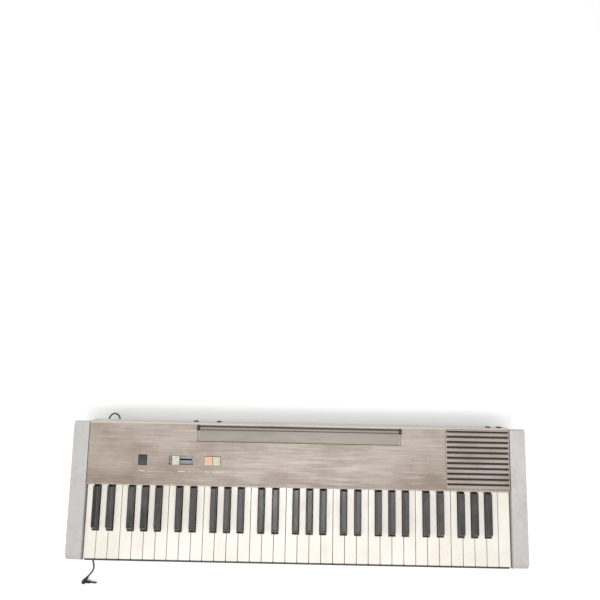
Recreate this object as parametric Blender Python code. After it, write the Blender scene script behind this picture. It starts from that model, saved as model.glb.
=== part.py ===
"""Portable electronic piano with 61 keys, built from its separate pieces.

Metres, +Z up. The origin is on the ground, under the middle of the body. The
player sits at -Y, the low notes are at -X, and the rubber feet stand on z = 0.
"""

import math

import bmesh
import bpy
from mathutils import Matrix, Vector

# Keyboard
WHITE_PITCH = 0.0235
WHITE_COUNT = 36
KEY_ROW = WHITE_PITCH * WHITE_COUNT
KEY_GAP = 0.001
BLACK_SLOT = 0.0142
BLACK_FOOT = 0.0130
BLACK_CROWN = 0.0102
BLACK_RISE = 0.0115
WHITE_SHOWN = 0.1425
BLACK_SHOWN = 0.088
WHITE_GROUPS = (3, 4)  # whites in C to E, and in F to B

# Body
DEPTH = 0.274
FRONT, REAR = -DEPTH / 2, DEPTH / 2
CHEEK_IN = KEY_ROW / 2 + 0.0013
CHEEK_WIDTH = 0.0312
CHEEK_TOP = 0.087
PANEL_TOP = 0.086
PANEL_SKIN = 0.003
PANEL_END = KEY_ROW / 2 + 0.0005
KEY_TOP = 0.080
FLOOR = 0.012  # underside of the body, above the ground
TRAY_SKIN = 0.0025
TRAY_REAR = 0.129
TRAY_TOP = 0.0788
SEAT = 0.0003  # gap between pieces that touch

# Key action
KEY_FRONT = FRONT + 0.0072
PANEL_FRONT = KEY_FRONT + WHITE_SHOWN
BLACK_NOSE = PANEL_FRONT - BLACK_SHOWN
PIVOT = Vector((0.0, PANEL_FRONT + 0.0303, 0.066))
PIVOT_ROD = 0.002
KEY_END = PIVOT.y + 0.0035
COMB_Y, COMB_Z = (PIVOT.y + 0.0062, PIVOT.y + 0.0086), (0.0690, 0.0765)  # rail of a black key set
KEY_SKIRT = 0.062  # underside of a white key at its front

# Controls on the panel: x and y of the middle, and the size
ROCKER_AT, ROCKER_SIZE = (-0.3136, 0.0620), (0.0168, 0.0198)
TROUGH_AT, TROUGH_SIZE = (-0.2365, 0.0630), (0.0490, 0.0186)
KNOB_X, KNOB_SIZE = -0.2465, (0.0140, 0.0176)
BUTTON_X, BUTTON_Y, BUTTON_SIZE = (-0.1804, -0.1645), 0.0629, (0.0152, 0.0165)
BUTTON_TOP = PANEL_TOP + 0.0032

# Speaker grille, from its slots' pitch
GRILLE_X = (0.2955, 0.4230)
GRILLE_Y = (0.0187, 0.1337)
SLAT_COUNT = 10
SLAT_PITCH = 0.0103
SLAT_WIDTH = 0.0070
REAR_SLOT = 0.1295

# Main circuit board
BOARD_X, BOARD_Y = (-0.3400, -0.1400), (0.0520, 0.1000)
BOARD_TOP = 0.0656

# Folding music rest
REST_HALF = 0.200
REST_AXIS = Vector((0.0, 0.1270, 0.0870))
REST_BARREL = 0.0037
REST_FLAP = (0.1005, 0.0024)  # front edge in y, and thickness
REST_FLOOR = PANEL_TOP - 0.003

# Rear bay that the lead leaves from
BAY_X = (-0.408, -0.358)
BAY_Z = (0.018, 0.058)
BAY_BACK = 0.104
LEAD_X, LEAD_Z = -0.383, 0.036
LEAD_THICK = 0.0032
RELIEF_TIP = 0.1260

# Lead: from the strain relief, round and down, under the body, out at the front
LEAD_ROUTE = (
    (-0.3830, 0.1263, 0.0360), (-0.3831, 0.1300, 0.0357), (-0.3850, 0.1363, 0.0338),
    (-0.3905, 0.1412, 0.0298), (-0.3985, 0.1430, 0.0243), (-0.4070, 0.1408, 0.0182),
    (-0.4142, 0.1348, 0.0122), (-0.4195, 0.1255, 0.0072), (-0.4235, 0.1130, 0.0040),
    (-0.4262, 0.0970, 0.0024), (-0.4280, 0.0790, 0.0019), (-0.4288, 0.0500, 0.0019),
    (-0.4280, 0.0150, 0.0019), (-0.4268, -0.0200, 0.0019), (-0.4268, -0.0550, 0.0019),
    (-0.4290, -0.0900, 0.0019), (-0.4335, -0.1200, 0.0019), (-0.4372, -0.1430, 0.0019),
    (-0.4376, -0.1590, 0.0019), (-0.4344, -0.1720, 0.0019), (-0.4326, -0.1820, 0.0020),
    (-0.4352, -0.1900, 0.0028), (-0.4402, -0.1966, 0.0042), (-0.4424, -0.1993, 0.0046),
)
LEAD_POINTS = 56
PLUG_AT = Vector((-0.4500, -0.2094, 0.0046))
PLUG_PIN_TURN = math.radians(-4.6)


# Small tools for meshes


def material(name, colour, roughness, metallic=0.0):
    """A Principled material; colour is linear."""
    made = bpy.data.materials.new(name)
    made.use_nodes = True
    made.diffuse_color = (*colour, 1.0)
    shader = made.node_tree.nodes["Principled BSDF"]
    shader.inputs["Base Color"].default_value = (*colour, 1.0)
    shader.inputs["Roughness"].default_value = roughness
    shader.inputs["Metallic"].default_value = metallic
    return made


def loft(bm, loops, ring=False):
    """Skin a stack of point loops: capped at both ends, or closed in a ring."""
    rows = [[bm.verts.new(p) for p in loop] for loop in loops]
    if ring:
        rows.append(rows[0])
    else:
        bm.faces.new(rows[0])
        bm.faces.new(rows[-1])
    for low, high in zip(rows, rows[1:]):
        for i in range(len(low)):
            j = (i + 1) % len(low)
            bm.faces.new((low[i], low[j], high[j], high[i]))


def box(bm, x, y, z):
    """A block between two values on each axis."""
    corners = [(x[0], y[0]), (x[1], y[0]), (x[1], y[1]), (x[0], y[1])]
    loft(bm, [[(a, b, level) for a, b in corners] for level in z])


def along_x(bm, outline, x0, x1):
    """An outline of (y, z) drawn out along X."""
    loft(bm, [[(x, y, z) for y, z in outline] for x in (x0, x1)])


def turned(bm, profile, centre, axis="Z", sides=24, ring=False, squeeze=(1.0, 1.0)):
    """A profile of (radius, height) turned about an axis through centre."""
    loops = []
    for radius, height in profile:
        loop = []
        for i in range(sides):
            angle = 2 * math.pi * (i + 0.5) / sides
            a = radius * math.cos(angle) * squeeze[0]
            b = radius * math.sin(angle) * squeeze[1]
            spun = {"X": (height, a, b), "Y": (b, height, a), "Z": (a, b, height)}[axis]
            loop.append(Vector(centre) + Vector(spun))
        loops.append(loop)
    loft(bm, loops, ring)


def rounded(corners, steps=4):
    """Outline with its corners (a, b, radius) turned into arcs."""
    outline = []
    count = len(corners)
    for i, (a, b, radius) in enumerate(corners):
        here = Vector((a, b))
        if radius == 0:
            outline.append((a, b))
            continue
        before = (Vector(corners[i - 1][:2]) - here).normalized()
        after = (Vector(corners[(i + 1) % count][:2]) - here).normalized()
        half = before.angle(after) / 2
        centre = here + (before + after).normalized() * radius / math.sin(half)
        start = here + before * radius / math.tan(half) - centre
        end = here + after * radius / math.tan(half) - centre
        sweep = start.angle_signed(end)
        for step in range(steps + 1):
            spoke = start.copy()
            spoke.rotate(Matrix.Rotation(-sweep * step / steps, 2))
            outline.append(tuple(centre + spoke))
    return outline


def bevel(bm, chosen, width, segments):
    """Round the edges that chosen(edge) picks."""
    edges = [e for e in bm.edges if chosen(e)]
    bmesh.ops.bevel(
        bm, geom=edges, offset=width, offset_type="OFFSET", segments=segments,
        profile=0.5, affect="EDGES", clamp_overlap=True,
    )


def both_ends(edge, test):
    return all(test(v.co) for v in edge.verts)


def make(name, bm, finish, origin=(0.0, 0.0, 0.0), smooth=35.0):
    """Turn a bmesh in world coordinates into an object with its origin where asked."""
    bmesh.ops.recalc_face_normals(bm, faces=bm.faces)
    bmesh.ops.translate(bm, verts=bm.verts, vec=-Vector(origin))
    mesh = bpy.data.meshes.new(name)
    bm.to_mesh(mesh)
    bm.free()
    if finish:
        mesh.materials.append(finish)
    mesh.shade_smooth()
    mesh.set_sharp_from_angle(angle=math.radians(smooth))
    made = bpy.data.objects.new(name, mesh)
    made.location = origin
    bpy.context.scene.collection.objects.link(made)
    return made


def combine(target, tool_bm, operation):
    """Cut a shape out of an object, or join it on, and keep the plain result."""
    tool = make("tool", tool_bm, None)
    change = target.modifiers.new(operation.title(), "BOOLEAN")
    change.operation, change.solver, change.object = operation, "EXACT", tool
    bpy.context.view_layer.update()
    seen = target.evaluated_get(bpy.context.evaluated_depsgraph_get())
    result = bpy.data.meshes.new_from_object(seen)
    target.modifiers.clear()
    used = target.data
    target.data = result
    result.name = target.name
    bpy.data.meshes.remove(used)
    spent = tool.data
    bpy.data.objects.remove(tool)
    bpy.data.meshes.remove(spent)
    result.shade_smooth()
    result.set_sharp_from_angle(angle=math.radians(35.0))


def cut(target, *shapes):
    """Cut each (function, arguments...) shape out of the object at once."""
    bm = bmesh.new()
    for shape, *arguments in shapes:
        shape(bm, *arguments)
    combine(target, bm, "DIFFERENCE")


def join(target, *shapes):
    """Join each (function, arguments...) shape to the object, one after another."""
    for shape, *arguments in shapes:
        bm = bmesh.new()
        shape(bm, *arguments)
        combine(target, bm, "UNION")


def span(middle, size):
    return middle - size / 2, middle + size / 2


# Keys


def key_underside(y):
    """The keys' undersides share one slope that clears the pivot rod."""
    rod_top = PIVOT.z + PIVOT_ROD + SEAT
    return rod_top + (y - PIVOT.y) * (rod_top - KEY_SKIRT) / (PIVOT.y - KEY_FRONT)


def key_layout():
    """Whites as (left, right, tail left, tail right), and blacks as their middles."""
    whites, blacks = [], []
    left = -KEY_ROW / 2
    while len(whites) < WHITE_COUNT:
        for count in WHITE_GROUPS:
            group = min(count, WHITE_COUNT - len(whites))
            tail = (group * WHITE_PITCH - (group - 1) * BLACK_SLOT) / max(group, 1)
            for i in range(group):
                head = (left + i * WHITE_PITCH, left + (i + 1) * WHITE_PITCH)
                start = left + i * (tail + BLACK_SLOT)
                whites.append((*head, start, start + tail))
                if i < group - 1:
                    blacks.append(start + tail + BLACK_SLOT / 2)
            left += group * WHITE_PITCH
    return whites, blacks


def white_key(number, left, right, tail_left, tail_right, finish):
    """One white key: wide head, notches for the black keys, tail over the pivot rod."""
    notch = BLACK_NOSE - 0.002
    left, right = left + KEY_GAP / 2, right - KEY_GAP / 2
    outline = [(left, KEY_FRONT), (right, KEY_FRONT)]
    if tail_right < right:
        outline += [(right, notch), (tail_right, notch), (tail_right, KEY_END)]
    else:
        outline += [(right, KEY_END)]
    if tail_left > left:
        outline += [(tail_left, KEY_END), (tail_left, notch), (left, notch)]
    else:
        outline += [(left, KEY_END)]
    bm = bmesh.new()
    loft(bm, [
        [(x, y, key_underside(y)) for x, y in outline],
        [(x, y, KEY_TOP) for x, y in outline],
    ])
    at_front = lambda co: co.y < KEY_FRONT + 1e-5
    bevel(bm, lambda e: both_ends(e, at_front) and abs(e.verts[0].co.x - e.verts[1].co.x) < 1e-5,
          0.0015, 2)
    lip, throat, undercut = KEY_TOP - 0.0036, KEY_TOP - 0.0048, 0.0018
    for level in (lip, throat):
        bmesh.ops.bisect_plane(
            bm, geom=[*bm.verts, *bm.edges, *bm.faces],
            plane_co=(0, 0, level), plane_no=(0, 0, 1),
        )
    for v in bm.verts:
        if v.co.z < throat + 1e-5 and v.co.y < KEY_FRONT + 0.002:
            v.co.y += undercut
    bevel(bm, lambda e: both_ends(e, lambda co: co.z > KEY_TOP - 1e-5), 0.0006, 1)
    origin = (left / 2 + right / 2, PIVOT.y, PIVOT.z)
    return make(f"white_key_{number:02d}", bm, finish, origin)


def black_key(bm, middle):
    """One black key: sloping nose, narrowing crown, thin tail under the panel."""
    head_end = PANEL_FRONT - 0.0022
    tail_top = KEY_TOP - 0.0005
    crown = KEY_TOP + BLACK_RISE
    side = [
        (BLACK_NOSE, key_underside(BLACK_NOSE)),
        (BLACK_NOSE, tail_top),
        (BLACK_NOSE + 0.0078, crown - 0.0012),
        (BLACK_NOSE + 0.0098, crown),
        (head_end, crown),
        (head_end, tail_top),
        (COMB_Y[1] - 0.0005, tail_top),
        (COMB_Y[1] - 0.0005, key_underside(COMB_Y[1])),
    ]

    def half_width(z):
        share = min(max((z - tail_top) / (crown - tail_top), 0.0), 1.0)
        return BLACK_FOOT / 2 + (BLACK_CROWN - BLACK_FOOT) / 2 * share

    loft(bm, [[(middle + turn * half_width(z), y, z) for y, z in side] for turn in (-1, 1)])
    bevel(bm, lambda e: both_ends(e, lambda co: co.z > crown - 0.002)
          and abs(e.verts[0].co.x - e.verts[1].co.x) < 1e-3, 0.0012, 2)
    bmesh.ops.recalc_face_normals(bm, faces=bm.faces)


def keys(white, black):
    whites, blacks = key_layout()
    for number, places in enumerate(whites, 1):
        white_key(number, *places, white)
    for octave in range(len(blacks) // 5):
        group = blacks[octave * 5:octave * 5 + 5]
        bm = bmesh.new()
        box(bm, (group[0] - BLACK_FOOT / 2, group[-1] + BLACK_FOOT / 2), COMB_Y, COMB_Z)
        comb = make(f"black_keys_octave_{octave + 1}", bm, black, (group[2], PIVOT.y, PIVOT.z))
        join(comb, *((black_key, middle) for middle in group))


# Key frame and contacts

FRAME_SHEET = 0.0015
FRAME_END = 0.4190
STOP_RAIL = (-0.088, 0.055)
SHELF_TOP = 0.0555
SHELF_Y = (-0.003, 0.0385)
FRAME_FLOOR = 0.020


def key_frame(finish):
    """Folded sheet: stop rail at the front, contact shelf, and the pivot rod at the back."""
    t = FRAME_SHEET
    stop_y, stop_z = STOP_RAIL
    outline = [
        (stop_y - t, stop_z), (stop_y - t, FRAME_FLOOR), (SHELF_Y[0] + t, FRAME_FLOOR),
        (SHELF_Y[0] + t, SHELF_TOP - t), (SHELF_Y[1] - t, SHELF_TOP - t),
        (SHELF_Y[1] - t, FRAME_FLOOR), (PIVOT.y + 0.012, FRAME_FLOOR),
        (PIVOT.y + 0.012, FRAME_FLOOR + t), (SHELF_Y[1], FRAME_FLOOR + t),
        (SHELF_Y[1], SHELF_TOP - 0.002), (PIVOT.y + t / 2, SHELF_TOP + 0.003),
        (PIVOT.y + t / 2, PIVOT.z), (PIVOT.y - t / 2, PIVOT.z),
        (PIVOT.y - t / 2, SHELF_TOP + 0.0036), (SHELF_Y[1] - 0.0012, SHELF_TOP),
        (SHELF_Y[0], SHELF_TOP), (SHELF_Y[0], FRAME_FLOOR + t),
        (stop_y, FRAME_FLOOR + t), (stop_y, stop_z),
    ]
    bm = bmesh.new()
    along_x(bm, outline, -FRAME_END, FRAME_END)
    frame = make("key_frame", bm, finish)
    rod = [(PIVOT_ROD, -FRAME_END - 0.001), (PIVOT_ROD, FRAME_END + 0.001)]
    join(frame, (turned, rod, PIVOT, "X", 12))
    pitch = 0.070
    openings = [
        (box, span((i - 5.5) * pitch, 0.048), (stop_y + 0.012, SHELF_Y[0] - 0.012), (0.01, 0.03))
        for i in range(12)
    ]
    cut(frame, *openings)


def contact_board(board):
    """Long circuit board on the shelf, with the contact strip along it."""
    low = SHELF_TOP + SEAT
    bm = bmesh.new()
    box(bm, (-0.412, 0.412), (0.0005, 0.0340), (low, low + 0.0016))
    made = make("contact_board", bm, board)
    strip = [
        (0.0080, low + 0.0014), (0.0240, low + 0.0014), (0.0240, low + 0.0030),
        (0.0200, low + 0.0034), (0.0185, low + 0.0064), (0.0135, low + 0.0064),
        (0.0120, low + 0.0034), (0.0080, low + 0.0030),
    ]
    join(made, (along_x, strip, -0.405, 0.405))


# Housing


def base_tray(finish):
    """Lower housing: floor with front and rear walls, end walls, bay, posts, ribs and feet."""
    t = TRAY_SKIN
    rail = 0.0048
    outline = rounded([
        (FRONT, KEY_TOP - 0.008, 0.0012), (FRONT, FLOOR, 0.004), (TRAY_REAR, FLOOR, 0.004),
        (TRAY_REAR, TRAY_TOP, 0), (TRAY_REAR - t, TRAY_TOP, 0), (TRAY_REAR - t, FLOOR + t, 0),
        (FRONT + rail, FLOOR + t, 0), (FRONT + rail, KEY_TOP - 0.008, 0.0012),
    ], 3)
    bm = bmesh.new()
    along_x(bm, outline, -PANEL_END, PANEL_END)
    tray = make("base_tray", bm, finish)
    for side in (-1, 1):
        ends = sorted((side * PANEL_END, side * (PANEL_END - t)))
        join(tray, (box, ends, (FRONT + 0.001, TRAY_REAR - 0.001), (FLOOR + 0.001, 0.048)))
    bay = (box, (BAY_X[0] - t, BAY_X[1] + t), (BAY_BACK - t, TRAY_REAR),
           (FLOOR + 0.001, BAY_Z[1] + t))
    join(tray, bay)
    cut(tray, (box, BAY_X, (BAY_BACK, TRAY_REAR + 0.01), BAY_Z))
    hole = [(0.0045, -0.006), (0.0045, 0.006)]
    cut(tray, (turned, hole, (LEAD_X, BAY_BACK, LEAD_Z), "Y", 16))
    posts = [
        (turned, [(0.0055, 0.0), (0.0050, FRAME_FLOOR - SEAT - FLOOR - t + 0.001)],
         (x, y, FLOOR + t - 0.001), "Z", 12)
        for x in (-0.35, -0.21, -0.07, 0.07, 0.21, 0.35) for y in (-0.080, 0.048)
    ]
    ribs = [
        (box, (x - 0.001, x + 0.001), (0.062, TRAY_REAR - 0.001), (FLOOR + t - 0.001, 0.022))
        for x in (-0.24, -0.12, 0.0, 0.12, 0.24)
    ]
    foot = [(0.0088, 0.0), (0.0100, 0.0012), (0.0108, FLOOR - 0.0030), (0.0125, FLOOR - 0.0025),
            (0.0125, FLOOR + 0.0010)]
    feet = [(turned, foot, (x, y, 0.0), "Z", 16) for x in (-0.385, 0.385) for y in (-0.112, 0.082)]
    join(tray, *posts, *ribs, *feet)
    vents = [
        (box, (0.283 + i * 0.011, 0.287 + i * 0.011), (0.070, 0.105), (FLOOR - 0.01, FLOOR + 0.01))
        for i in range(8)
    ]
    cut(tray, *vents)


def top_panel(finish):
    """Upper housing: folded front lip, rear skirt, recesses and openings."""
    t = PANEL_SKIN
    lip = KEY_TOP + 0.0015
    skirt = 0.060
    wall = 0.0025
    outline = rounded([
        (PANEL_FRONT, lip, 0), (PANEL_FRONT, PANEL_TOP, 0.0018), (REAR, PANEL_TOP, 0.004),
        (REAR, skirt, 0), (REAR - wall, skirt, 0), (REAR - wall, PANEL_TOP - t, 0),
        (PANEL_FRONT + wall, PANEL_TOP - t, 0), (PANEL_FRONT + wall, lip, 0),
    ], 4)
    bm = bmesh.new()
    along_x(bm, outline, -PANEL_END, PANEL_END)
    panel = make("top_panel", bm, finish)

    trough_x, trough_y = span(TROUGH_AT[0], TROUGH_SIZE[0]), span(TROUGH_AT[1], TROUGH_SIZE[1])
    trough_floor, shell = PANEL_TOP - 0.0048, 0.002
    rest_x = (-REST_HALF - 0.0055, REST_HALF + 0.0055)
    rest_y = (REST_FLAP[0] - 0.0010, REST_AXIS.y + REST_BARREL + 0.0012)
    join(
        panel,
        (box, (trough_x[0] - shell, trough_x[1] + shell), (trough_y[0] - shell, trough_y[1] + shell),
         (trough_floor - shell, PANEL_TOP - t + 0.0005)),
        (box, (rest_x[0] - shell, rest_x[1] + shell), (rest_y[0] - shell, rest_y[1] + shell),
         (REST_FLOOR - shell, PANEL_TOP - t + 0.0005)),
    )
    above = PANEL_TOP + 0.01
    button_x = (BUTTON_X[0] - BUTTON_SIZE[0] / 2 - 0.0005, BUTTON_X[1] + BUTTON_SIZE[0] / 2 + 0.0005)
    grow = 0.0010
    cut(
        panel,
        (box, trough_x, trough_y, (trough_floor, above)),
        (box, rest_x, rest_y, (REST_FLOOR, above)),
        (box, span(ROCKER_AT[0], ROCKER_SIZE[0] + grow), span(ROCKER_AT[1], ROCKER_SIZE[1] + grow),
         (0.05, above)),
        (box, button_x, span(BUTTON_Y, BUTTON_SIZE[1] + grow), (0.05, above)),
        (box, (GRILLE_X[0] - 0.0005, 0.43), (GRILLE_Y[0] - 0.0005, GRILLE_Y[1] + 0.0005),
         (0.05, above)),
    )
    cut(panel, (box, (trough_x[0] + 0.003, trough_x[1] - 0.003), span(TROUGH_AT[1], 0.0034),
                (0.05, above)))
    for side in (-1, 1):
        block = sorted((side * (REST_HALF + 0.0010), side * (REST_HALF + 0.0058)))
        arch = rounded([
            (rest_y[0] + 0.0228, REST_FLOOR - 0.0005, 0), (rest_y[1] + 0.0002, REST_FLOOR - 0.0005, 0),
            (rest_y[1] + 0.0002, REST_AXIS.z + 0.0036, 0.003), (rest_y[0] + 0.0228, REST_AXIS.z + 0.0036, 0.003),
        ], 4)
        join(panel, (along_x, arch, *block))
        pin = sorted((side * (REST_HALF - 0.001), side * (REST_HALF + 0.0045)))
        cut(panel, (turned, [(0.0018, pin[0]), (0.0018, pin[1])], (0, REST_AXIS.y, REST_AXIS.z), "X", 12))
    ribs = [
        (box, (x - 0.0009, x + 0.0009), (0.066, 0.096), (0.0760, PANEL_TOP - t + 0.0005))
        for x in (-0.05, 0.05, 0.15, 0.25)
    ]
    bosses = [
        (turned, [(0.0028, BOARD_TOP + SEAT), (0.0034, PANEL_TOP - t + 0.0005)], (x, y, 0.0), "Z", 12)
        for x in (BOARD_X[0] + 0.005, BOARD_X[1] - 0.005) for y in (BOARD_Y[0] + 0.005, BOARD_Y[1] - 0.005)
    ]
    join(panel, *ribs, *bosses)


def cheek(name, side, finish):
    """End block with a rounded front shoulder and a back that falls away."""
    front = FRONT + 0.0042
    outline = rounded([
        (front, FLOOR, 0.003), (REAR - 0.0125, FLOOR, 0.003), (REAR, CHEEK_TOP, 0.004),
        (front, CHEEK_TOP, 0.010),
    ], 5)
    inner, outer = side * CHEEK_IN, side * (CHEEK_IN + CHEEK_WIDTH)
    bm = bmesh.new()
    along_x(bm, outline, inner, outer)
    bevel(bm, lambda e: both_ends(e, lambda co: abs(co.x - outer) < 1e-6), 0.0028, 3)
    bevel(bm, lambda e: both_ends(e, lambda co: abs(co.x - inner) < 1e-6), 0.0006, 1)
    make(name, bm, finish)


# Sound


def speaker_grille(finish):
    """Insert with ten rounded slats between open slots."""
    top, low = PANEL_TOP + 0.0004, KEY_TOP + 0.0026
    field_x = (GRILLE_X[0] + 0.0020, GRILLE_X[1] - 0.0015)
    front_slot = REAR_SLOT - SLAT_COUNT * SLAT_PITCH
    slot = (SLAT_PITCH - SLAT_WIDTH) / 2
    field_y = (front_slot - slot, REAR_SLOT + slot)
    bm = bmesh.new()
    box(bm, GRILLE_X, GRILLE_Y, (low, top))
    grille = make("speaker_grille", bm, finish)
    cut(grille, (box, field_x, field_y, (low - 0.01, top + 0.01)))
    for i in range(SLAT_COUNT):
        middle = front_slot + (i + 0.5) * SLAT_PITCH
        y0, y1 = span(middle, SLAT_WIDTH)
        section = rounded([(y0, low + 0.001, 0), (y1, low + 0.001, 0), (y1, top, 0.0026),
                           (y0, top, 0.0026)], 4)
        join(grille, (along_x, section, field_x[0] - 0.001, field_x[1] + 0.0008))


def loudspeaker(finish):
    """Oval loudspeaker: flange, basket, cone with dust cap, and magnet."""
    centre = (0.5 * (GRILLE_X[0] + GRILLE_X[1]) - 0.001, 0.0895, 0.0)
    rim = 0.0795
    profile = [
        (0.0590, rim - 0.0020), (0.0590, rim), (0.0540, rim), (0.0500, rim - 0.0022),
        (0.0460, rim - 0.0010), (0.0170, rim - 0.0165), (0.0165, rim - 0.0150),
        (0.0110, rim - 0.0120), (0.0040, rim - 0.0110),
    ]
    back = [(0.0060, rim - 0.0330), (0.0230, rim - 0.0330), (0.0260, rim - 0.0250),
            (0.0500, rim - 0.0060), (0.0520, rim - 0.0020)]
    bm = bmesh.new()
    turned(bm, back + profile, centre, "Z", 32, squeeze=(1.0, 0.60))
    speaker = make("loudspeaker", bm, finish)
    magnet = [(0.0215, rim - 0.0450), (0.0225, rim - 0.0440), (0.0225, rim - 0.0325), (0.0215, rim - 0.0315)]
    join(speaker, (turned, magnet, centre, "Z", 24))


# Electronics


def main_board(finish):
    """Circuit board under the controls, with their switches and the larger parts."""
    top = BOARD_TOP
    bm = bmesh.new()
    box(bm, BOARD_X, BOARD_Y, (top - 0.0016, top))
    board = make("main_board", bm, finish)
    sunk = top - 0.0002
    blocks = [
        (box, span(TROUGH_AT[0], 0.0560), span(TROUGH_AT[1], 0.0100), (sunk, 0.0745)),
        (box, span(ROCKER_AT[0], 0.0150), span(ROCKER_AT[1], 0.0170), (sunk, 0.0700)),
        (box, span(-0.3000, 0.0300), span(0.0900, 0.0090), (sunk, top + 0.0040)),
        (box, span(-0.2500, 0.0360), span(0.0880, 0.0130), (sunk, top + 0.0042)),
        (box, span(-0.1980, 0.0300), span(0.0880, 0.0090), (sunk, top + 0.0040)),
    ]
    blocks += [(box, span(x, 0.0120), span(BUTTON_Y, 0.0120), (sunk, 0.0705)) for x in BUTTON_X]
    blocks += [
        (turned, [(0.0045, 0.0), (0.0050, 0.0005), (0.0050, 0.0110), (0.0044, 0.0115)],
         (x, 0.0890, sunk), "Z", 12)
        for x in (-0.1680, -0.1550)
    ]
    join(board, *blocks)
    groove = (box, span(TROUGH_AT[0], 0.0500), span(TROUGH_AT[1], 0.0030), (0.0690, 0.08))
    cut(board, groove)


# Controls


def power_rocker(finish):
    """Rocker whose two faces meet in a shallow V, resting with its rear half up."""
    x0, x1 = span(ROCKER_AT[0], ROCKER_SIZE[0])
    y, half = ROCKER_AT[1], ROCKER_SIZE[1] / 2
    axis_z = PANEL_TOP - 0.0050
    dip = 0.0009
    side = [(-half, -0.0040), (-half, 0.0064), (0.0, 0.0064 - dip * 1.5), (half, 0.0064), (half, -0.0040),
            (0.0035, -0.0085), (-0.0035, -0.0085)]
    tilt = Matrix.Rotation(math.radians(5.0), 2)
    bm = bmesh.new()
    outline = []
    for a, b in side:
        turned_point = tilt @ Vector((a, b))
        outline.append((y + turned_point.x * 0.985, axis_z + turned_point.y))
    along_x(bm, outline, x0, x1)
    bevel(bm, lambda e: both_ends(e, lambda co: co.z > axis_z + 0.002), 0.0005, 2)
    make("power_rocker", bm, finish, (ROCKER_AT[0], y, axis_z))


def volume_knob(finish):
    """Slider cap with a finger saddle and cross ribs, on its stem."""
    x0, x1 = span(KNOB_X, KNOB_SIZE[0])
    low, top = PANEL_TOP - 0.0044, PANEL_TOP + 0.0028
    middle = (x0 + x1) / 2
    ridges = 7
    saddle = []
    for i in range(2 * ridges + 1):
        x = x1 + (x0 - x1) * i / (2 * ridges)
        hollow = 0.0010 * (1 - ((x - middle) / (KNOB_SIZE[0] / 2)) ** 2)
        saddle.append((x, top - hollow - 0.0004 * (i % 2)))
    outline = [(x0, low), (x1, low), *saddle]
    y0, y1 = span(TROUGH_AT[1], KNOB_SIZE[1])
    bm = bmesh.new()
    loft(bm, [[(x, y, z) for x, z in outline] for y in (y0, y1)])
    knob = make("volume_knob", bm, finish, (KNOB_X, TROUGH_AT[1], PANEL_TOP))
    join(knob, (box, span(KNOB_X, 0.0040), span(TROUGH_AT[1], 0.0016), (0.0700, low + 0.001)))


def tone_button(name, x, finish):
    """Push button with a dished, ribbed top and a stem."""
    x0, x1 = span(x, BUTTON_SIZE[0])
    y0, y1 = span(BUTTON_Y, BUTTON_SIZE[1])
    low = PANEL_TOP - 0.0050
    ridges = 6
    top = []
    for i in range(2 * ridges + 1):
        y = y1 + (y0 - y1) * i / (2 * ridges)
        hollow = 0.0007 * (1 - ((y - BUTTON_Y) / (BUTTON_SIZE[1] / 2)) ** 2)
        top.append((y, BUTTON_TOP - hollow - 0.0003 * (i % 2)))
    bm = bmesh.new()
    along_x(bm, [(y0, low), (y1, low), *top], x0 + 0.0001, x1 - 0.0001)
    button = make(name, bm, finish, (x, BUTTON_Y, PANEL_TOP))
    join(button, (box, span(x, 0.0050), span(BUTTON_Y, 0.0050), (0.0740, low + 0.001)))


def music_rest(finish):
    """Barrel with pins at its ends, and the flap that lies in the panel's recess."""
    bm = bmesh.new()
    pin = 0.0015
    profile = [(pin, -REST_HALF - 0.0036), (pin, -REST_HALF), (REST_BARREL, -REST_HALF),
               (REST_BARREL, REST_HALF), (pin, REST_HALF), (pin, REST_HALF + 0.0036)]
    turned(bm, profile, (0.0, REST_AXIS.y, REST_AXIS.z), "X", 20)
    rest = make("music_rest", bm, finish, REST_AXIS)
    low = REST_FLOOR + SEAT
    front, thick = REST_FLAP
    flap = rounded([
        (front, low, 0.0006), (REST_AXIS.y, low, 0), (REST_AXIS.y, low + thick, 0),
        (front, low + thick, 0.0010),
    ], 3)
    join(rest, (along_x, flap, -REST_HALF, REST_HALF))


# Lead


def smooth_route(points, count):
    """Evenly spaced points on a smooth curve through the route's points."""
    p = [Vector(q) for q in points]
    p = [p[0] * 2 - p[1], *p, p[-1] * 2 - p[-2]]
    fine = []
    for a, b, c, d in zip(p, p[1:], p[2:], p[3:]):
        for step in range(20):
            t = step / 20
            bend = (2 * a - 5 * b + 4 * c - d) * t * t + (3 * b - a - 3 * c + d) * t ** 3
            fine.append((2 * b + (c - a) * t + bend) / 2)
    fine.append(p[-2])
    travelled = [0.0]
    for a, b in zip(fine, fine[1:]):
        travelled.append(travelled[-1] + (b - a).length)
    even, k = [], 0
    for i in range(count):
        want = travelled[-1] * i / (count - 1)
        while k < len(fine) - 2 and travelled[k + 1] < want:
            k += 1
        share = (want - travelled[k]) / (travelled[k + 1] - travelled[k])
        even.append(fine[k].lerp(fine[k + 1], min(share, 1.0)))
    return even


def power_lead(finish):
    """The lead as a tube along its route."""
    line = smooth_route(LEAD_ROUTE, LEAD_POINTS)
    curve = bpy.data.curves.new("power_lead", "CURVE")
    curve.dimensions = "3D"
    spline = curve.splines.new("POLY")
    spline.points.add(len(line) - 1)
    for point, place in zip(spline.points, line):
        point.co = (*place, 1.0)
    curve.bevel_depth = LEAD_THICK / 2
    curve.bevel_resolution = 2
    curve.use_fill_caps = True
    curve.materials.append(finish)
    lead = bpy.data.objects.new("power_lead", curve)
    bpy.context.scene.collection.objects.link(lead)
    length = sum((b - a).length for a, b in zip(line, line[1:]))
    print(f"lead length {length:.4f} m")


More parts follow.
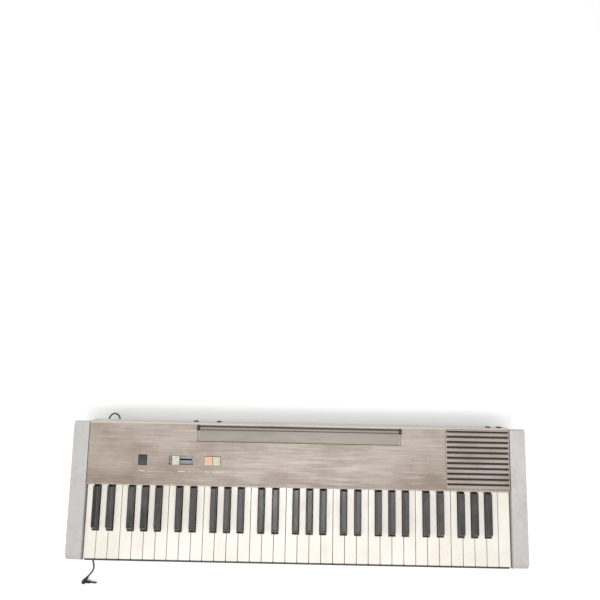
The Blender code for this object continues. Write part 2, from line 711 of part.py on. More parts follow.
def strain_relief(finish):
    """Ribbed, tapered bush clamped in the back wall of the bay."""
    inside = BAY_BACK - TRAY_SKIN
    profile = [(0.0058, inside - 0.0028), (0.0058, inside - SEAT), (0.0041, inside - SEAT),
               (0.0041, BAY_BACK + SEAT), (0.0056, BAY_BACK + SEAT), (0.0056, BAY_BACK + 0.0030)]
    rings = 5
    start = BAY_BACK + 0.0030
    pitch = (RELIEF_TIP - start) / rings
    for i in range(rings):
        radius = 0.0042 - 0.0013 * i / (rings - 1)
        profile += [(radius, start + pitch * i), (radius - 0.0001, start + pitch * (i + 0.55)),
                    (radius - 0.0008, start + pitch * (i + 0.60)),
                    (radius - 0.0008, start + pitch * (i + 0.95))]
    profile[-1] = (profile[-1][0], RELIEF_TIP)
    bm = bmesh.new()
    turned(bm, profile, (LEAD_X, 0.0, LEAD_Z), "Y", 16)
    make("strain_relief", bm, finish, (LEAD_X, BAY_BACK, LEAD_Z))


def swung(bm, angle, pivot, shape, *arguments):
    """A shape turned about the vertical line through pivot."""
    shape(bm, *arguments)
    bmesh.ops.rotate(bm, verts=bm.verts, cent=pivot, matrix=Matrix.Rotation(angle, 3, "Z"))


def lead_plug(finish):
    """Right-angled plug: round body, sleeve towards the lead, collar and pin with its tip."""
    bm = bmesh.new()
    height = PLUG_AT.z * 2
    body = [(0.0040, 0.0004), (0.0046, 0.0010), (0.0046, height - 0.0016), (0.0038, height - 0.0006)]
    turned(bm, body, (PLUG_AT.x, PLUG_AT.y, 0.0), "Z", 24)
    plug = make("lead_plug", bm, finish, PLUG_AT)
    towards = Vector(LEAD_ROUTE[-1]) - PLUG_AT
    reach = towards.length - SEAT
    sleeve = [(0.0032, 0.001), (0.0031, reach * 0.55), (0.0021, reach)]
    pin = [(0.0029, 0.001), (0.0029, 0.0125), (0.00175, 0.0127), (0.00175, 0.0235),
           (0.0013, 0.0244), (0.00175, 0.0256), (0.0006, 0.0276)]
    join(
        plug,
        (swung, math.atan2(towards.y, towards.x), PLUG_AT, turned, sleeve, PLUG_AT, "X", 16),
        (swung, PLUG_PIN_TURN, PLUG_AT, turned, pin, PLUG_AT, "X", 16),
    )


def main():
    for leftover in list(bpy.data.objects):
        bpy.data.objects.remove(leftover)

    taupe = material("taupe painted plastic", (0.36, 0.30, 0.25), 0.42)
    charcoal = material("charcoal plastic", (0.035, 0.033, 0.032), 0.55)
    silver = material("silver painted plastic", (0.50, 0.50, 0.50), 0.38, 0.25)
    ivory = material("ivory key plastic", (0.82, 0.80, 0.75), 0.30)
    black = material("black key plastic", (0.022, 0.020, 0.019), 0.38)
    steel = material("zinc plated steel", (0.60, 0.60, 0.60), 0.35, 1.0)
    board = material("green circuit board", (0.03, 0.16, 0.07), 0.45)
    rubber = material("black rubber", (0.02, 0.02, 0.02), 0.75)
    grey = material("dark grey plastic", (0.065, 0.070, 0.075), 0.45)
    cream = material("cream plastic", (0.74, 0.72, 0.60), 0.40)
    peach = material("peach plastic", (0.80, 0.52, 0.38), 0.42)
    paper = material("speaker paper", (0.03, 0.03, 0.03), 0.80)

    base_tray(charcoal)
    top_panel(taupe)
    cheek("left_cheek", -1, silver)
    cheek("right_cheek", 1, silver)
    speaker_grille(taupe)
    loudspeaker(paper)
    key_frame(steel)
    contact_board(board)
    main_board(board)
    keys(ivory, black)
    music_rest(taupe)
    power_rocker(grey)
    volume_knob(cream)
    tone_button("tone_button_a", BUTTON_X[0], peach)
    tone_button("tone_button_b", BUTTON_X[1], cream)
    strain_relief(rubber)
    power_lead(rubber)
    lead_plug(rubber)


main()
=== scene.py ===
"""Finishes, small pieces, lead and studio for a 61-key table-top digital piano."""

import math

import bmesh
import bpy
from mathutils import Matrix, Vector


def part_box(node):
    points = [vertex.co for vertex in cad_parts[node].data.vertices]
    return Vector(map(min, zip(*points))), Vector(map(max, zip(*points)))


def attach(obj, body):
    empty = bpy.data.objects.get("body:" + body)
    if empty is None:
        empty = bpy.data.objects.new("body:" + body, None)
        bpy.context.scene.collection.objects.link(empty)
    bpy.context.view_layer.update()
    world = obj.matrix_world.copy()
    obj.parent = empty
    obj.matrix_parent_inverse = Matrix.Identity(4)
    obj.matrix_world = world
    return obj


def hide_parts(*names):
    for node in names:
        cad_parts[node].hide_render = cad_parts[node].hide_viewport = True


bl_info = {
    "name": "Table-top piano finishes",
    "version": (1, 0, 0),
    "blender": (4, 5, 0),
    "location": "3D View > Sidebar > Piano",
    "description": "Dresses the solid model of a digital piano and sets its studio",
    "category": "Object",
}

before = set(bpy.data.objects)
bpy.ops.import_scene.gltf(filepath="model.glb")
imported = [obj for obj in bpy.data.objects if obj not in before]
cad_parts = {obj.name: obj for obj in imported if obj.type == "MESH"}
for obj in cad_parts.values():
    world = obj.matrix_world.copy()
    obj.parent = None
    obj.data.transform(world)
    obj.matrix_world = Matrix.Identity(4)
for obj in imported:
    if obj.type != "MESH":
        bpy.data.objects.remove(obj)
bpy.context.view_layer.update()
MM = 0.001

PANEL_LOW, PANEL_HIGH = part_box("top_panel")
GRILLE_LOW, GRILLE_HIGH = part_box("speaker_grille")
REST_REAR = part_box("music_rest")[1][1]
PANEL_TOP = GRILLE_HIGH[2] - 0.4 * MM
TRAY_FLOOR = 12 * MM

# Camera looking almost straight down, fitted to the key row; its focal length is assumed
FRAME_PX = 600
FOCAL_PX = 451.0
SENSOR_MM = 36.0
CAMERA_AT = (-0.0018, 0.2853, 1.0225)
CAMERA_YAW, CAMERA_TILT, CAMERA_ROLL = 0.126, 6.455, 1.142

# Lead, through the same points as its solid
LEAD_ROUTE = (
    (-0.3830, 0.1263, 0.0360), (-0.3831, 0.1300, 0.0357), (-0.3850, 0.1363, 0.0338),
    (-0.3905, 0.1412, 0.0298), (-0.3985, 0.1430, 0.0243), (-0.4070, 0.1408, 0.0182),
    (-0.4142, 0.1348, 0.0122), (-0.4195, 0.1255, 0.0072), (-0.4235, 0.1130, 0.0040),
    (-0.4262, 0.0970, 0.0024), (-0.4280, 0.0790, 0.0019), (-0.4288, 0.0500, 0.0019),
    (-0.4280, 0.0150, 0.0019), (-0.4268, -0.0200, 0.0019), (-0.4268, -0.0550, 0.0019),
    (-0.4290, -0.0900, 0.0019), (-0.4335, -0.1200, 0.0019), (-0.4372, -0.1430, 0.0019),
    (-0.4376, -0.1590, 0.0019), (-0.4344, -0.1720, 0.0019), (-0.4326, -0.1820, 0.0020),
    (-0.4352, -0.1900, 0.0028), (-0.4402, -0.1966, 0.0042), (-0.4424, -0.1993, 0.0046),
)

# Printed marks on the panel: left, right and middle height in millimetres
MARKS_MM = (
    (-319.6, -308.3, 41.2), (-242.3, -227.9, 40.9), (-221.3, -218.3, 40.9),
    (-188.0, -177.8, 40.8), (-172.2, -149.7, 40.8), (-303.6, -302.2, 67.2),
    (-303.6, -302.2, 57.7),
)
SOCKETS_MM = (-212.0, -165.0, 387.0, 409.0)

# A socket's ring, as radius and height off the rear skirt, and its height above the table
SOCKET_RING_MM = ((5.2, 0.0), (5.2, 1.0), (4.6, 1.6), (3.4, 1.6), (3.1, 1.2), (3.1, 0.2))
SOCKET_UP_MM = 72

# Printed ink: half the width of a bar, and its thickness
MARK_HALF_MM = 0.55
INK_MM = 0.06

# Caps on the two bearing blocks, at equal distances left and right of the middle
CAP_X_MM, CAP_Y_MM, CAP_Z_MM = (200.7, 206.4), (122.0, 132.4), (83.4, 91.0)
CAP_EDGE_MM = 1.2

# Liner on the floor of the slider's trough, and the slot that it leaves open
LINER_LOW_MM, LINER_HIGH_MM = (-260.7, 54.0), (-212.3, 72.0)
SLOT_X_MM, SLOT_Y_MM = (-257.8, -215.2), (61.4, 64.6)
TROUGH_DEPTH_MM = 4.8
LINER_THICK_MM = 0.2

# Grille cloth: its inset from the insert's edge, its gap under the insert, and its thickness
CLOTH_EDGE_MM, CLOTH_GAP_MM, CLOTH_THICK_MM = 1.0, 0.1, 0.3

# Screws under the tray: their places, how far they stand out, the head as radius and height, and
# half the length, width and depth of the block that cuts each slot of the cross
SCREW_X_MM = (-360, -216, -72, 72, 216, 345)
SCREW_Y_MM = (-128, 118)
SCREW_PROUD_MM = 1.3
SCREW_HEAD_MM = ((3.2, -SCREW_PROUD_MM), (3.4, -0.9), (3.4, 0.2))
CROSS_LONG_MM, CROSS_WIDE_MM, CROSS_DEEP_MM = 2.1, 0.4, 0.8

# Painted shade in the gaps between the white keys: it covers their sides below the first height and is gone
# above the second
KEY_GAP_SHADE_MM = (76, 79.2)

# The rest's barrel: its axis in front of the rear edge, its half width, and how far from the axis
# the line of painted shade at its edges starts and is at its darkest
BARREL_AXIS_MM, BARREL_REACH_MM, BARREL_SHADE_MM = 3.7, 4.5, (1.6, 3.2)

# Floor: half its width in metres, and how much it glows to the camera
FLOOR_HALF = 4.0
FLOOR_GLOW = 0.35


class PianoSettings(bpy.types.PropertyGroup):
    """Sizes and colours that a user would change."""

    panel_colour: bpy.props.StringProperty(
        name="Panel", description="Paint of the top panel, as an sRGB hex value", default="B5A89D")
    grime_colour: bpy.props.StringProperty(
        name="Grime", description="Stains on the panel, as an sRGB hex value", default="8E7C6D")
    cheek_colour: bpy.props.StringProperty(
        name="Cheeks", description="Silver paint of the end blocks", default="C6C4C1")
    white_colour: bpy.props.StringProperty(
        name="White keys", description="Plastic of the white keys", default="F6F2EA")
    black_colour: bpy.props.StringProperty(
        name="Black keys", description="Plastic of the black keys", default="262423")
    lead_thickness: bpy.props.FloatProperty(
        name="Lead thickness", description="Outer diameter of the lead", default=3.2 * MM,
        unit="LENGTH", subtype="DISTANCE")
    cloth_thread: bpy.props.FloatProperty(
        name="Cloth thread", description="Thread spacing of the loudspeaker cloth",
        default=0.9 * MM, unit="LENGTH", subtype="DISTANCE")
    lamp_power: bpy.props.FloatProperty(
        name="Lamp", description="Power of the large overhead lamp", default=17.0, unit="POWER")


# Colour and shader tools


def linear(hex_value):
    """An sRGB hex value as linear RGBA."""
    channels = [int(hex_value[i:i + 2], 16) / 255 for i in (0, 2, 4)]
    spread = [c / 12.92 if c <= 0.04045 else ((c + 0.055) / 1.055) ** 2.4 for c in channels]
    return (*spread, 1.0)


def add_node(tree, kind, inputs=None, **settings):
    """Adds one node with its settings, and sets or links its inputs."""
    made = tree.nodes.new("ShaderNode" + kind)
    for key, value in settings.items():
        setattr(made, key, value)
    for key, value in (inputs or {}).items():
        if isinstance(value, bpy.types.NodeSocket):
            tree.links.new(value, made.inputs[key])
        else:
            made.inputs[key].default_value = value
    return made


def new_material(name, roughness, metallic=0.0, ior=None):
    """A material with one Principled shader: (material, tree, shader, object coordinates)."""
    made = bpy.data.materials.new(name)
    made.use_nodes = True
    tree = made.node_tree
    shader = tree.nodes["Principled BSDF"]
    shader.inputs["Roughness"].default_value = roughness
    shader.inputs["Metallic"].default_value = metallic
    if ior:
        shader.inputs["IOR"].default_value = ior
    place = add_node(tree, "TexCoord").outputs["Object"]
    return made, tree, shader, place


def noise(tree, place, size_mm, detail=4.0, stretch=(1.0, 1.0, 1.0), rough=0.55):
    """Noise whose blotches are about size_mm across."""
    scaled = add_node(tree, "Mapping", {"Vector": place, "Scale": stretch})
    made = add_node(tree, "TexNoise", {
        "Vector": scaled.outputs[0], "Scale": 1000 / size_mm, "Detail": detail, "Roughness": rough})
    return made.outputs["Fac"]


def ramp(tree, value, low, high, start, end):
    """A value spread over another range."""
    made = add_node(tree, "MapRange", {
        "Value": value, "From Min": start, "From Max": end, "To Min": low, "To Max": high})
    return made.outputs[0]


def mixed(tree, factor, one, two):
    """Two colours mixed by a factor."""
    return add_node(tree, "Mix", {0: factor, 6: one, 7: two}, data_type="RGBA").outputs[2]


def height_of(tree, place):
    """The height part of a position."""
    return add_node(tree, "SeparateXYZ", {0: place}).outputs["Z"]


def bump(tree, shader, height, depth_mm, strength=0.5):
    """Relief of a real depth under the shader."""
    made = add_node(tree, "Bump", {"Height": height, "Distance": depth_mm * MM, "Strength": strength})
    tree.links.new(made.outputs[0], shader.inputs["Normal"])


# Materials


def satin_paint_on_abs(settings):
    """Sprayed satin paint on moulded ABS: brushed streaks, brown where hands lie, a rubbed front edge and a
    painted highlight along the rear edge.
    """
    made, tree, shader, place = new_material("satin paint on moulded ABS", 0.42, ior=1.5)
    wide = noise(tree, place, 75, 5.0, (0.6, 1.0, 1.0), 0.6)
    brushed = noise(tree, place, 5, 6.0, (0.06, 1.0, 1.0), 0.7)
    across = add_node(tree, "SeparateXYZ", {0: place}).outputs["Y"]
    handled = ramp(tree, across, 0.55, 0.0, PANEL_LOW[1] + 4 * MM, PANEL_LOW[1] + 62 * MM)
    stain = add_node(tree, "Math", {0: ramp(tree, wide, -0.25, 0.75, 0.36, 0.66), 1: handled},
                     operation="ADD", use_clamp=True).outputs[0]
    colour = mixed(tree, stain, linear(settings.panel_colour), linear(settings.grime_colour))
    colour = mixed(tree, ramp(tree, brushed, 0.0, 0.55, 0.48, 0.72), colour, linear("8B7B6E"))
    colour = mixed(tree, ramp(tree, brushed, 0.35, 0.0, 0.30, 0.46), colour, linear("CFC6BD"))
    specks = noise(tree, place, 2.2, 2.0)
    colour = mixed(tree, ramp(tree, specks, 0.0, 0.3, 0.54, 0.72), colour, linear("D2C9C0"))
    # Paint rubbed pale where hands pass over the front edge; the pale strip along the rear edge is a
    # painted highlight
    front = ramp(tree, across, 1.0, 0.0, PANEL_LOW[1] + 0.8 * MM, PANEL_LOW[1] + 3.4 * MM)
    chipped = add_node(tree, "Math", {0: front, 1: ramp(tree, specks, 0.15, 1.0, 0.44, 0.58)},
                       operation="MULTIPLY").outputs[0]
    # Painted highlight: the rounded rear edge is painted pale, as light would catch it
    rear = ramp(tree, across, 0.0, 0.85, PANEL_HIGH[1] - 4.5 * MM, PANEL_HIGH[1] - 2.5 * MM)
    rubbed = add_node(tree, "Math", {0: chipped, 1: rear}, operation="MAXIMUM").outputs[0]
    colour = mixed(tree, rubbed, colour, linear("DDD5CC"))
    tree.links.new(colour, shader.inputs["Base Color"])
    tree.links.new(ramp(tree, brushed, 0.34, 0.54, 0.35, 0.65), shader.inputs["Roughness"])
    bump(tree, shader, noise(tree, place, 1.3, 3.0), 0.03, 0.35)
    return made


def slatted_paint(settings):
    """The same paint on the grille, darker with painted shade in the slots between the slats."""
    made, tree, shader, place = new_material("satin paint on grille slats", 0.45, ior=1.5)
    wide = noise(tree, place, 40, 4.0, (0.4, 1.0, 1.0))
    colour = mixed(tree, ramp(tree, wide, 0.0, 0.6, 0.4, 0.68), linear("B3A9A1"),
                   linear(settings.grime_colour))
    # Painted shade: the paint darkens with depth below the slat tops, standing in for the shade in the
    # slots
    deep = ramp(tree, height_of(tree, place), 1.0, 0.0, PANEL_TOP - 2.4 * MM, PANEL_TOP - 0.2 * MM)
    tree.links.new(mixed(tree, deep, colour, linear("5A4E46")), shader.inputs["Base Color"])
    bump(tree, shader, noise(tree, place, 1.3, 3.0), 0.03, 0.35)
    return made


def silver_paint_on_abs(settings):
    """Silver spray paint on moulded ABS: fine metal flake, rubbed paler along the top edges."""
    made, tree, shader, place = new_material("silver paint on moulded ABS", 0.38, 0.25)
    wide = noise(tree, place, 55, 4.0)
    colour = mixed(tree, ramp(tree, wide, 0.0, 0.7, 0.40, 0.68),
                   linear(settings.cheek_colour), linear("B4B0AB"))
    rubbed = ramp(tree, height_of(tree, place), 0.0, 0.6, PANEL_TOP - 3 * MM, PANEL_TOP + 1 * MM)
    flake = noise(tree, place, 0.8, 1.0)
    colour = mixed(tree, ramp(tree, flake, 0.0, 0.35, 0.5, 0.75), colour, linear("D9D8D6"))
    scuffed = noise(tree, place, 9, 5.0)
    worn = add_node(tree, "Math", {0: rubbed, 1: ramp(tree, scuffed, 0.0, 1.0, 0.40, 0.62)},
                    operation="MULTIPLY").outputs[0]
    tree.links.new(mixed(tree, worn, colour, linear("CFCDCA")), shader.inputs["Base Color"])
    tree.links.new(ramp(tree, wide, 0.32, 0.48, 0.35, 0.65), shader.inputs["Roughness"])
    bump(tree, shader, flake, 0.02, 0.3)
    return made


def ivory_key_plastic(settings):
    """Half-gloss moulded acrylic, yellowed in patches, and darker low on its sides with painted shade for
    the gaps between keys.
    """
    made, tree, shader, place = new_material("moulded ivory acrylic", 0.26, ior=1.49)
    patches = noise(tree, place, 95, 3.0)
    colour = mixed(tree, ramp(tree, patches, 0.0, 1.0, 0.38, 0.66),
                   linear(settings.white_colour), linear("EDE6DA"))
    touch = noise(tree, place, 14, 5.0, (1.0, 0.35, 1.0))
    colour = mixed(tree, ramp(tree, touch, 0.0, 0.3, 0.54, 0.76), colour, linear("DDD2C2"))
    # Painted shade: below the key tops the sides turn dark brown-grey, standing in for the shade in the
    # narrow gaps between keys
    low = ramp(tree, height_of(tree, place), 1.0, 0.0, KEY_GAP_SHADE_MM[0] * MM, KEY_GAP_SHADE_MM[1] * MM)
    tree.links.new(mixed(tree, low, colour, linear("6B5E52")), shader.inputs["Base Color"])
    tree.links.new(ramp(tree, touch, 0.20, 0.40, 0.35, 0.70), shader.inputs["Roughness"])
    shader.inputs["Subsurface Weight"].default_value = 0.06
    shader.inputs["Subsurface Scale"].default_value = 2 * MM
    bump(tree, shader, noise(tree, place, 3.0, 2.0), 0.01, 0.2)
    return made


def black_key_plastic(settings):
    """Half-gloss moulded black plastic with finger wear and settled dust on its top."""
    made, tree, shader, place = new_material("moulded black phenolic", 0.33, ior=1.55)
    wear = noise(tree, place, 18, 5.0, (1.0, 0.4, 1.0))
    worn = mixed(tree, ramp(tree, wear, 0.0, 0.8, 0.46, 0.72),
                 linear(settings.black_colour), linear("4A4643"))
    dust = noise(tree, place, 60, 3.0)
    colour = mixed(tree, ramp(tree, dust, 0.0, 0.35, 0.48, 0.68), worn, linear("6B6661"))
    tree.links.new(colour, shader.inputs["Base Color"])
    tree.links.new(ramp(tree, wear, 0.26, 0.46, 0.35, 0.70), shader.inputs["Roughness"])
    bump(tree, shader, noise(tree, place, 2.0, 2.0), 0.01, 0.2)
    return made


def grained_abs_and_rubber(settings):
    """Charcoal ABS with a spark-eroded grain; the feet below it are dull black rubber."""
    made, tree, shader, place = new_material("grained charcoal ABS", 0.55, ior=1.5)
    wide = noise(tree, place, 60, 4.0)
    colour = mixed(tree, ramp(tree, wide, 0.0, 0.7, 0.4, 0.68), linear("3B3733"), linear("57504A"))
    sole = add_node(tree, "Math", {0: height_of(tree, place), 1: TRAY_FLOOR - 0.2 * MM},
                    operation="LESS_THAN").outputs[0]
    tree.links.new(mixed(tree, sole, colour, linear("161514")), shader.inputs["Base Color"])
    tree.links.new(ramp(tree, sole, 0.55, 0.85, 0.0, 1.0), shader.inputs["Roughness"])
    bump(tree, shader, noise(tree, place, 1.4, 2.0), 0.06, 0.45)
    return made


def plain_moulding(name, one, two, roughness, grain_mm=1.5, ior=1.5):
    """Moulded plastic or rubber: two close tones in blotches, and a fine grain."""
    made, tree, shader, place = new_material(name, roughness, ior=ior)
    wide = noise(tree, place, 12, 5.0)
    colour = mixed(tree, ramp(tree, wide, 0.0, 1.0, 0.38, 0.66), linear(one), linear(two))
    tree.links.new(colour, shader.inputs["Base Color"])
    tree.links.new(ramp(tree, wide, roughness - 0.06, roughness + 0.10, 0.35, 0.65),
                   shader.inputs["Roughness"])
    bump(tree, shader, noise(tree, place, grain_mm, 2.0), 0.03, 0.35)
    return made


def black_nylon():
    """Moulded black nylon with a fine grain, shared by the rest's caps and the sockets."""
    name = "moulded black nylon"
    return bpy.data.materials.get(name) or plain_moulding(name, "191817", "2C2A28", 0.45)


def metal(name, tone, dull, roughness, grain_mm):
    """Bare or plated metal with a drawn grain along its length."""
    made, tree, shader, place = new_material(name, roughness, 1.0)
    drawn = noise(tree, place, grain_mm, 3.0, (0.05, 1.0, 1.0))
    tree.links.new(mixed(tree, drawn, linear(tone), linear(dull)), shader.inputs["Base Color"])
    tree.links.new(ramp(tree, drawn, roughness - 0.08, roughness + 0.12, 0.35, 0.65),
                   shader.inputs["Roughness"])
    bump(tree, shader, drawn, 0.01, 0.2)
    return made


def solder_masked_board():
    """Glass-fibre board under green solder mask, with copper tracks showing as paler lines."""
    made, tree, shader, place = new_material("solder masked fibre board", 0.35, ior=1.5)
    tracks = add_node(tree, "TexBrick", {
        "Vector": place, "Scale": 1000 / 9.0, "Color1": linear("1E5A3C"), "Color2": linear("184E34"),
        "Mortar": linear("3C8A5E"), "Mortar Size": 0.03})
    tree.links.new(tracks.outputs["Color"], shader.inputs["Base Color"])
    bump(tree, shader, tracks.outputs["Fac"], 0.04, 0.4)
    return made


def loudspeaker_paper():
    """Pressed paper cone: dull, fibrous and almost black."""
    made, tree, shader, place = new_material("pressed cone paper", 0.85, ior=1.45)
    fibre = noise(tree, place, 2.5, 6.0)
    tree.links.new(mixed(tree, fibre, linear("141312"), linear("2C2926")), shader.inputs["Base Color"])
    bump(tree, shader, fibre, 0.12, 0.6)
    return made


def speaker_cloth(settings):
    """Open woven nylon behind the slats; its thread is drawn coarse enough to show."""
    made, tree, shader, place = new_material("woven nylon cloth", 0.8, ior=1.5)
    turns = 1.0 / settings.cloth_thread
    waves = []
    for direction in ("X", "Y"):
        wave = add_node(tree, "TexWave", {"Vector": place, "Scale": turns / 3.2, "Distortion": 0.4},
                        bands_direction=direction)
        waves.append(wave.outputs["Fac"])
    weave = add_node(tree, "Math", {0: waves[0], 1: waves[1]}, operation="MULTIPLY").outputs[0]
    tree.links.new(mixed(tree, weave, linear("2E2825"), linear("6A5F57")), shader.inputs["Base Color"])
    bump(tree, shader, weave, 0.3, 0.6)
    return made


def painted_rest(settings):
    """The music rest: the panel's paint, with painted shade as a dark line along the barrel's edges."""
    made, tree, shader, place = new_material("music rest paint with painted edge shade", 0.40, ior=1.5)
    spots = noise(tree, place, 30, 5.0, (0.2, 1.0, 1.0))
    colour = mixed(tree, ramp(tree, spots, 0.0, 0.7, 0.42, 0.68), linear("979085"), linear("7C7368"))
    axis_y = REST_REAR - BARREL_AXIS_MM * MM
    across = add_node(tree, "SeparateXYZ", {0: place}).outputs["Y"]
    offset = add_node(tree, "Math", {0: across, 1: axis_y}, operation="SUBTRACT").outputs[0]
    reach = add_node(tree, "Math", {0: offset}, operation="ABSOLUTE").outputs[0]
    barrel = add_node(tree, "Math", {0: reach, 1: BARREL_REACH_MM * MM}, operation="LESS_THAN").outputs[0]
    # Painted shade: the barrel darkens to a line at both edges, where it curves down to the panel
    edge = ramp(tree, reach, 0.0, 1.0, BARREL_SHADE_MM[0] * MM, BARREL_SHADE_MM[1] * MM)
    dark = add_node(tree, "Math", {0: barrel, 1: edge}, operation="MULTIPLY").outputs[0]
    toned = mixed(tree, barrel, colour, linear("94897E"))
    tree.links.new(mixed(tree, dark, toned, linear("3A312B")), shader.inputs["Base Color"])
    bump(tree, shader, noise(tree, place, 1.3, 3.0), 0.03, 0.35)
    return made


# Mesh tools


def turned(bm, profile, centre, axis="Z", sides=32):
    """A profile of (radius, height) turned about an axis, capped at both ends."""
    rows = []
    for radius, height in profile:
        row = []
        for i in range(sides):
            angle = 2 * math.pi * i / sides
            a, b = radius * math.cos(angle), radius * math.sin(angle)
            spun = {"X": (height, a, b), "Y": (b, height, a), "Z": (a, b, height)}[axis]
            row.append(bm.verts.new(Vector(centre) + Vector(spun)))
        rows.append(row)
    bm.faces.new(rows[0])
    bm.faces.new(rows[-1])
    for low, high in zip(rows, rows[1:]):
        for i in range(sides):
            j = (i + 1) % sides
            bm.faces.new((low[i], low[j], high[j], high[i]))


def slab(bm, low, high):
    """A block between two corners."""
    middle = (Vector(low) + Vector(high)) / 2
    size = Vector(high) - Vector(low)
    place = Matrix.Translation(middle) @ Matrix.Diagonal((*size, 1.0))
    return bmesh.ops.create_cube(bm, size=1.0, matrix=place)["verts"]


def make_piece(name, bm, finish, body="body", soften_mm=0.0):
    """A finished piece on its body, with rounded edges where asked."""
    bmesh.ops.recalc_face_normals(bm, faces=bm.faces)
    mesh = bpy.data.meshes.new(name)
    bm.to_mesh(mesh)
    bm.free()
    mesh.materials.append(finish)
    mesh.shade_smooth()
    mesh.set_sharp_from_angle(angle=math.radians(35))
    piece = bpy.data.objects.new(name, mesh)
    bpy.context.scene.collection.objects.link(piece)
    if soften_mm:
        soft = piece.modifiers.new("Soft edges", "BEVEL")
        soft.width = soften_mm * MM
        soft.segments = 3
        soft.limit_method = "ANGLE"
    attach(piece, body)
    return piece


def dress(node, finish):
    """Gives a node of the solid model its real finish."""
    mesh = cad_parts[node].data
    mesh.materials.clear()
    mesh.materials.append(finish)


# Operators, one for each group of like pieces


class PIANO_OT_housing(bpy.types.Operator):
    """Finish the tray, top panel, cheeks and grille"""

    bl_idname = "piano.housing"
    bl_label = "Housing"

    def execute(self, context):
        settings = context.scene.piano_settings
        silver = silver_paint_on_abs(settings)
        dress("base_tray", grained_abs_and_rubber(settings))
        dress("top_panel", satin_paint_on_abs(settings))
        dress("speaker_grille", slatted_paint(settings))
        dress("left_cheek", silver)
        dress("right_cheek", silver)
        return {"FINISHED"}


class PIANO_OT_keys(bpy.types.Operator):
    """Finish the white and the black keys"""

    bl_idname = "piano.keys"
    bl_label = "Keys"

    def execute(self, context):
        settings = context.scene.piano_settings
        ivory = ivory_key_plastic(settings)
        black = black_key_plastic(settings)
        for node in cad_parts:
            if node.startswith("white_key"):
                dress(node, ivory)
            elif node.startswith("black_keys"):
                dress(node, black)
        return {"FINISHED"}


class PIANO_OT_works(bpy.types.Operator):
    """Finish the key frame, boards and loudspeaker inside"""

    bl_idname = "piano.works"
    bl_label = "Works"

    def execute(self, context):
        board = solder_masked_board()
        dress("loudspeaker", loudspeaker_paper())
        dress("key_frame", metal("zinc plated sheet steel", "A9AAAC", "7F8083", 0.38, 0.8))
        dress("contact_board", board)
        dress("main_board", board)
        return {"FINISHED"}


class PIANO_OT_controls(bpy.types.Operator):
    """Finish the rocker, slider knob, tone buttons and music rest"""

    bl_idname = "piano.controls"
    bl_label = "Controls"

    def execute(self, context):
        dress("music_rest", painted_rest(context.scene.piano_settings))
        # Moulded rocker, wiped bright by fingers
        dress("power_rocker", plain_moulding("moulded grey ABS", "45474A", "2F3032", 0.42))
        dress("volume_knob", plain_moulding("moulded cream ABS", "E1DFCF", "C9C5B2", 0.42))
        dress("tone_button_a", plain_moulding("moulded peach ABS", "EDC0A6", "D9A689", 0.42))
        dress("tone_button_b", plain_moulding("moulded buff ABS", "D8D2BC", "C2BBA3", 0.42))
        return {"FINISHED"}


class PIANO_OT_lead(bpy.types.Operator):
    """Lay the lead along its route, and finish its plug and strain relief"""

    bl_idname = "piano.lead"
    bl_label = "Lead"

    def execute(self, context):
        # Soft PVC takes dust, so it is nearer dark grey than black
        pvc = plain_moulding("soft black PVC", "1D1C1B", "33312F", 0.58)
        dress("strain_relief", pvc)
        dress("lead_plug", pvc)
        thick = context.scene.piano_settings.lead_thickness
        line = self.smooth(LEAD_ROUTE, 8)
        curve = bpy.data.curves.new("lead", "CURVE")
        curve.dimensions = "3D"
        spline = curve.splines.new("POLY")
        spline.points.add(len(line) - 1)
        for point, place in zip(spline.points, line):
            point.co = (*place, 1.0)
        curve.bevel_depth = thick / 2
        curve.bevel_resolution = 6
        curve.use_fill_caps = True
        curve.materials.append(plain_moulding("extruded grey PVC", "2B2A29", "4B4947", 0.5))
        lead = bpy.data.objects.new("lead", curve)
        context.scene.collection.objects.link(lead)
        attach(lead, "body")
        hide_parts("power_lead")
        return {"FINISHED"}

    @staticmethod
    def smooth(points, steps):
        """Points on a smooth curve through the route."""
        p = [Vector(q) for q in points]
        p = [p[0] * 2 - p[1], *p, p[-1] * 2 - p[-2]]
        line = []
        for a, b, c, d in zip(p, p[1:], p[2:], p[3:]):
            for step in range(steps):
                t = step / steps
                bend = (2 * a - 5 * b + 4 * c - d) * t * t + (3 * b - a - 3 * c + d) * t ** 3
                line.append((2 * b + (c - a) * t + bend) / 2)
        return [*line, p[-2]]


class PIANO_OT_grille_cloth(bpy.types.Operator):
    """Stretch the dark cloth behind the slats"""

    bl_idname = "piano.grille_cloth"
    bl_label = "Grille cloth"

    def execute(self, context):
        bm = bmesh.new()
        edge = CLOTH_EDGE_MM * MM
        top = GRILLE_LOW[2] - CLOTH_GAP_MM * MM
        slab(bm, (GRILLE_LOW[0] + edge, GRILLE_LOW[1] + edge, top - CLOTH_THICK_MM * MM),
             (GRILLE_HIGH[0] - edge, GRILLE_HIGH[1] - edge, top))
        make_piece("grille_cloth", bm, speaker_cloth(context.scene.piano_settings))
        return {"FINISHED"}


class PIANO_OT_rest_caps(bpy.types.Operator):
    """Put black caps over the two blocks that carry the music rest"""

    bl_idname = "piano.rest_caps"
    bl_label = "Music rest caps"

    def execute(self, context):
        for name, side in (("rest_cap_low", -1), ("rest_cap_high", 1)):
            bm = bmesh.new()
            x = sorted(side * across * MM for across in CAP_X_MM)
            slab(bm, (x[0], CAP_Y_MM[0] * MM, CAP_Z_MM[0] * MM), (x[1], CAP_Y_MM[1] * MM, CAP_Z_MM[1] * MM))
            make_piece(name, bm, black_nylon(), soften_mm=CAP_EDGE_MM)
        return {"FINISHED"}


